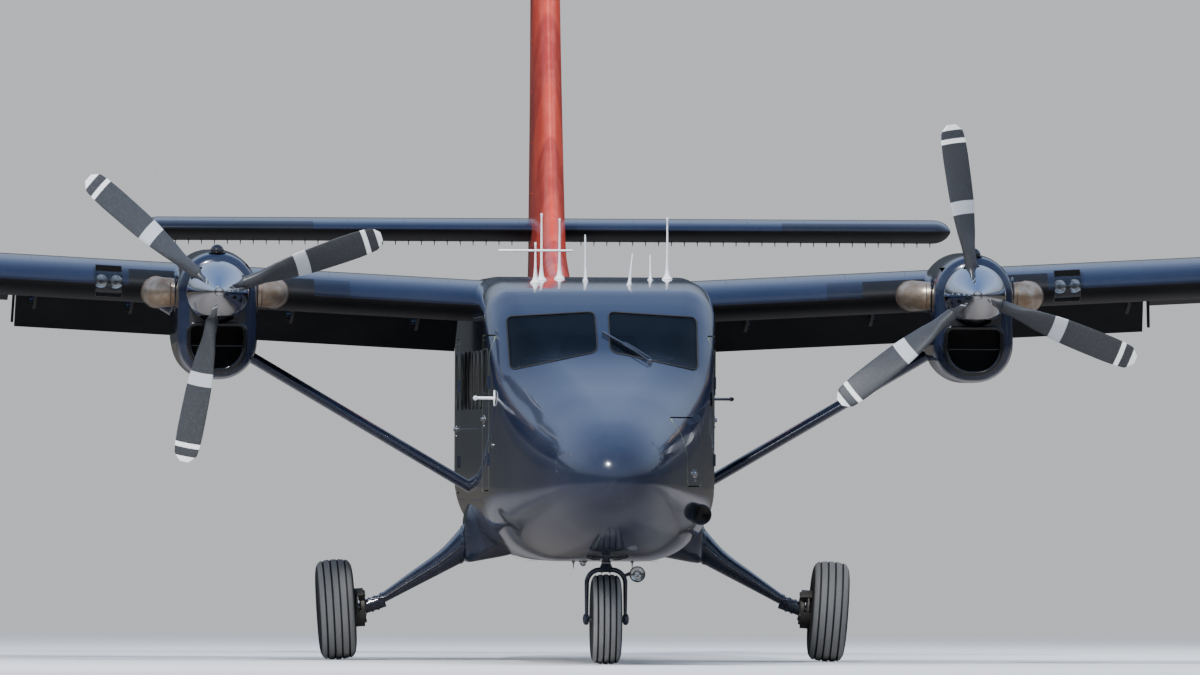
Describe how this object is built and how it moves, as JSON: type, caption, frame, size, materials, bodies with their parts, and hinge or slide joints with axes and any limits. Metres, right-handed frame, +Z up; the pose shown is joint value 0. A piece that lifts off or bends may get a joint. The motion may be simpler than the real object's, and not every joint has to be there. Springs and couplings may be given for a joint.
{
  "type": "twin turboprop commuter airliner",
  "caption": "High-wing strut-braced commuter airliner on fixed tricycle gear, with turning propellers and wheels, working control surfaces and doors that open.",
  "frame": {"origin": "on the floor, at the centre of the whole aircraft's length and width", "axes": "+X to the aircraft's left, along the wings; -Y towards the nose; +Z up"},
  "size_m": [19.81, 15.77, 5.94],
  "materials": {
    "navy_paint": "glossy near-black navy paint over aluminium",
    "nose_paint": "glossy near-black navy paint over a moulded cone",
    "fin_paint": "glossy red paint over aluminium",
    "windscreen_glass": "clear, faintly tinted",
    "panel_metal": "matt black",
    "dark_plastic": "matt black",
    "lining": "matt grey lining",
    "seat_leather": "dark leather",
    "engine_metal": "heat-tinted bronze at the exhausts",
    "blade_paint": "satin dark grey with pale tips",
    "spinner_chrome": "polished",
    "tyre_rubber": "matt black, ribbed",
    "rim_metal": "painted light grey",
    "gear_paint": "dark satin paint"
  },
  "bodies": {
    "airframe": {"nose_bay": "navy_paint", "cockpit_floor": "navy_paint", "cockpit_frame": "navy_paint", "cabin_floor": "navy_paint", "cabin_side_left": "navy_paint", "cabin_side_right": "navy_paint", "cabin_roof": "navy_paint", "rear_bay": "navy_paint", "tail_cone": "navy_paint", "wing_left": "navy_paint", "wing_right": "navy_paint", "wing_strut_left": "navy_paint", "wing_strut_right": "navy_paint", "tailplane": "navy_paint", "nacelle_left": "navy_paint", "nacelle_right": "navy_paint", "gear_fairing_left": "navy_paint", "gear_fairing_right": "navy_paint", "nose_cone": "nose_paint", "fin": "fin_paint", "windshield_left": "windscreen_glass", "windshield_right": "windscreen_glass", "landing_lamp_left": "windscreen_glass", "landing_lamp_right": "windscreen_glass", "instrument_panel": "panel_metal", "control_column": "dark_plastic", "cockpit_bulkhead": "lining", "crew_seat_left": "seat_leather", "crew_seat_right": "seat_leather", "engine_left": "engine_metal", "engine_right": "engine_metal", "main_gear_leg_left": "gear_paint", "main_gear_leg_right": "gear_paint", "nose_leg": "gear_paint"},
    "propeller_left": {"propeller_left": "blade_paint", "spinner_left": "spinner_chrome"},
    "propeller_right": {"propeller_right": "blade_paint", "spinner_right": "spinner_chrome"},
    "main_wheel_left": {"main_rim_left": "rim_metal", "main_tyre_left": "tyre_rubber"},
    "main_wheel_right": {"main_rim_right": "rim_metal", "main_tyre_right": "tyre_rubber"},
    "nose_fork": {"nose_fork": "gear_paint"},
    "nose_wheel": {"nose_rim": "rim_metal", "nose_tyre": "tyre_rubber"},
    "flap_left": {"flap_left": "navy_paint"},
    "flap_right": {"flap_right": "navy_paint"},
    "aileron_left": {"aileron_left": "navy_paint"},
    "aileron_right": {"aileron_right": "navy_paint"},
    "elevator_left": {"elevator_left": "navy_paint"},
    "elevator_right": {"elevator_right": "navy_paint"},
    "rudder": {"rudder": "fin_paint"},
    "crew_door_left": {"crew_door_left": "navy_paint"},
    "crew_door_right": {"crew_door_right": "navy_paint"},
    "cargo_door_front": {"cargo_door_front": "navy_paint"},
    "cargo_door_rear": {"cargo_door_rear": "navy_paint"},
    "passenger_door": {"passenger_door": "navy_paint"},
    "nose_bay_door": {"nose_bay_door": "navy_paint"},
    "rear_bay_door": {"rear_bay_door": "navy_paint"}
  },
  "joints": [
    {"name": "propeller_left_spin", "type": "hinge", "parent": "airframe", "child": "propeller_left", "pos_m": [2.84, -4.285, 2.763], "axis": [0, 1, 0], "continuous": true},
    {"name": "propeller_right_spin", "type": "hinge", "parent": "airframe", "child": "propeller_right", "pos_m": [-2.84, -4.285, 2.763], "axis": [0, 1, 0], "continuous": true},
    {"name": "main_wheel_left_spin", "type": "hinge", "parent": "airframe", "child": "main_wheel_left", "pos_m": [1.866, -1.735, 0.38054], "axis": [0.9979, 0, -0.0654], "continuous": true},
    {"name": "main_wheel_right_spin", "type": "hinge", "parent": "airframe", "child": "main_wheel_right", "pos_m": [-1.866, -1.735, 0.38054], "axis": [0.9979, 0, 0.0654], "continuous": true},
    {"name": "nose_steering", "type": "hinge", "parent": "airframe", "child": "nose_fork", "pos_m": [0, -6.265, 0.5], "axis": [0, 0, 1], "range_deg": [-60, 60]},
    {"name": "nose_wheel_spin", "type": "hinge", "parent": "nose_fork", "child": "nose_wheel", "pos_m": [0, -6.265, 0.335], "axis": [1, 0, 0], "continuous": true},
    {"name": "flap_left_hinge", "type": "hinge", "parent": "airframe", "child": "flap_left", "pos_m": [2.605, -1.15319, 2.61847], "axis": [0.9986, 0, 0.0523], "range_deg": [0, 37.5]},
    {"name": "flap_right_hinge", "type": "hinge", "parent": "airframe", "child": "flap_right", "pos_m": [-2.605, -1.15319, 2.61847], "axis": [0.9986, 0, -0.0523], "range_deg": [0, 37.5]},
    {"name": "aileron_left_hinge", "type": "hinge", "parent": "airframe", "child": "aileron_left", "pos_m": [6.92, -1.09364, 2.9287], "axis": [0.9986, 0, 0.0523], "range_deg": [-16, 16]},
    {"name": "aileron_right_hinge", "type": "hinge", "parent": "airframe", "child": "aileron_right", "pos_m": [-6.92, -1.09364, 2.9287], "axis": [0.9986, 0, -0.0523], "range_deg": [-16, 16]},
    {"name": "elevator_left_hinge", "type": "hinge", "parent": "airframe", "child": "elevator_left", "pos_m": [1.66, 6.545, 3.32], "axis": [1, 0, 0], "range_deg": [-14, 26]},
    {"name": "elevator_right_hinge", "type": "hinge", "parent": "airframe", "child": "elevator_right", "pos_m": [-1.66, 6.545, 3.32], "axis": [1, 0, 0], "range_deg": [-14, 26]},
    {"name": "rudder_hinge", "type": "hinge", "parent": "airframe", "child": "rudder", "pos_m": [0, 6.945, 4.3], "axis": [0, 0, 1], "range_deg": [-18, 18]},
    {"name": "crew_door_left_hinge", "type": "hinge", "parent": "airframe", "child": "crew_door_left", "pos_m": [0.842, -5.255, 1.86], "axis": [0, 0, -1], "range_deg": [0, 85]},
    {"name": "crew_door_right_hinge", "type": "hinge", "parent": "airframe", "child": "crew_door_right", "pos_m": [-0.842, -5.255, 1.86], "axis": [0, 0, 1], "range_deg": [0, 85]},
    {"name": "cargo_door_front_hinge", "type": "hinge", "parent": "airframe", "child": "cargo_door_front", "pos_m": [0.875, -0.535, 1.885], "axis": [0, 0, -1], "range_deg": [0, 90]},
    {"name": "cargo_door_rear_hinge", "type": "hinge", "parent": "airframe", "child": "cargo_door_rear", "pos_m": [0.875, 0.885, 1.885], "axis": [0, 0, 1], "range_deg": [0, 90]},
    {"name": "passenger_door_hinge", "type": "hinge", "parent": "airframe", "child": "passenger_door", "pos_m": [-0.875, 0.115, 1.85], "axis": [0, 0, 1], "range_deg": [0, 90]},
    {"name": "nose_bay_door_hinge", "type": "hinge", "parent": "airframe", "child": "nose_bay_door", "pos_m": [0.664, -6.29, 1.83], "axis": [0, -1, 0], "range_deg": [0, 75]},
    {"name": "rear_bay_door_hinge", "type": "hinge", "parent": "airframe", "child": "rear_bay_door", "pos_m": [0.87, 1.265, 1.925], "axis": [0, 0, -1], "range_deg": [0, 85]}
  ],
  "couplings": [
    {"joint": "flap_right_hinge", "follows": "flap_left_hinge", "ratio": 1},
    {"joint": "aileron_right_hinge", "follows": "aileron_left_hinge", "ratio": -1},
    {"joint": "elevator_right_hinge", "follows": "elevator_left_hinge", "ratio": 1}
  ]
}
